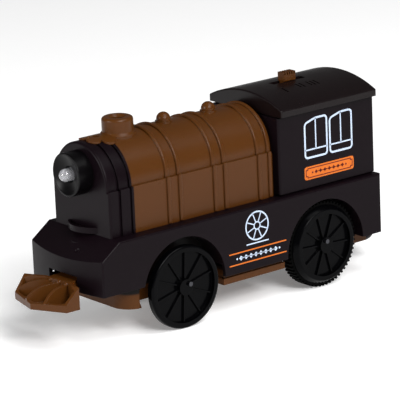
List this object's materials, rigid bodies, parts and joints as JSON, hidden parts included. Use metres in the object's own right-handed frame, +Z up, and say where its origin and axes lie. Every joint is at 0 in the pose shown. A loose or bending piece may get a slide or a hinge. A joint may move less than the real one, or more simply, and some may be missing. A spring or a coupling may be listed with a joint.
{
  "type": "battery toy steam locomotive",
  "caption": "Moulded battery toy steam locomotive with geared rear drive, rubber tyres, round headlamp, roof slide switch, swinging cow-catcher and rear coupling.",
  "frame": {"origin": "on the ground under the middle of the whole object", "axes": "+X forward towards the cow-catcher, +Y to the locomotive's left, +Z up"},
  "size_m": [0.1742, 0.048, 0.0843],
  "materials": {
    "black_plastic": "semi-gloss moulded black with a brown cast",
    "brown_plastic": "semi-gloss moulded chocolate brown",
    "tyre_rubber": "matt black moulded rubber",
    "lamp_clear": "water-clear lamp resin, polished",
    "steel": "dull bright steel",
    "brass": "plain",
    "white_nylon": "natural nylon",
    "grey_plastic": "matt dark grey",
    "ferrite": "dull",
    "rotor_iron": "varnished laminations",
    "cell_wrap": "plain printed sleeve, no marks",
    "red_insulation": "soft sleeve",
    "black_insulation": "soft sleeve"
  },
  "bodies": {
    "chassis": {"chassis_shell": "black_plastic", "underframe": "brown_plastic", "boiler_casing": "brown_plastic", "smokebox": "black_plastic", "headlamp_barrel": "black_plastic", "headlamp_led": "lamp_clear", "led_legs": "steel", "cab_body": "black_plastic", "cab_roof": "black_plastic", "switch_box": "grey_plastic", "switch_contacts": "brass", "switch_screws": "steel", "pilot_screw": "steel", "second_gear_pin": "steel", "first_gear_pin": "steel", "gearbox_right": "grey_plastic", "gearbox_left": "grey_plastic", "gearbox_screws": "steel", "motor_can": "steel", "motor_magnets": "ferrite", "motor_end_cap": "white_nylon", "motor_terminals": "brass", "battery_cell": "cell_wrap", "battery_contact": "steel", "battery_spring": "steel", "battery_door": "brown_plastic", "battery_door_screw": "steel", "rear_coupling": "black_plastic", "coupling_screw": "steel", "assembly_screws": "steel", "body_screws": "steel", "battery_lead": "red_insulation", "motor_lead": "red_insulation", "return_lead": "black_insulation", "lamp_lead_plus": "red_insulation", "lamp_lead_minus": "black_insulation"},
    "switch": {"switch_slider": "brown_plastic", "switch_wiper": "brass"},
    "cow_catcher": {"pilot": "brown_plastic"},
    "front_wheelset": {"front_axle": "steel", "front_wheel_left": "black_plastic", "front_wheel_right": "black_plastic", "front_crank_pins": "steel"},
    "rear_wheelset": {"rear_axle": "steel", "rear_wheel_left": "black_plastic", "rear_wheel_right": "black_plastic", "rear_tyre_left": "tyre_rubber", "rear_tyre_right": "tyre_rubber", "rear_crank_pins": "steel", "axle_gear": "white_nylon"},
    "second_wheel": {"second_gear": "white_nylon"},
    "first_wheel": {"first_gear": "white_nylon"},
    "motor_armature": {"motor_shaft": "steel", "motor_rotor": "rotor_iron", "motor_pinion": "brass"}
  },
  "joints": [
    {"name": "front_axle_spin", "type": "hinge", "parent": "chassis", "child": "front_wheelset", "pos_m": [0.0285, 0, 0.0163], "axis": [0, 1, 0], "continuous": true},
    {"name": "rear_axle_spin", "type": "hinge", "parent": "chassis", "child": "rear_wheelset", "pos_m": [-0.04285, 0, 0.0174], "axis": [0, 1, 0], "continuous": true},
    {"name": "second_gear_spin", "type": "hinge", "parent": "chassis", "child": "second_wheel", "pos_m": [-0.04285, -0.007, 0.0254], "axis": [0, 1, 0], "continuous": true},
    {"name": "first_gear_spin", "type": "hinge", "parent": "chassis", "child": "first_wheel", "pos_m": [-0.04285, -0.007, 0.0334], "axis": [0, 1, 0], "continuous": true},
    {"name": "motor_spin", "type": "hinge", "parent": "chassis", "child": "motor_armature", "pos_m": [-0.04285, 0, 0.0414], "axis": [0, 1, 0], "continuous": true},
    {"name": "switch_slide", "type": "slide", "parent": "chassis", "child": "switch", "axis": [1, 0, 0], "range_m": [-0.004, 0.004]},
    {"name": "pilot_swing", "type": "hinge", "parent": "chassis", "child": "cow_catcher", "pos_m": [0.0602, 0, 0.0231], "axis": [0, 0, 1], "range_deg": [-16.4, 3.6]}
  ],
  "couplings": [
    {"joint": "second_gear_spin", "follows": "rear_axle_spin", "ratio": -3},
    {"joint": "first_gear_spin", "follows": "rear_axle_spin", "ratio": 9},
    {"joint": "motor_spin", "follows": "rear_axle_spin", "ratio": -27}
  ]
}
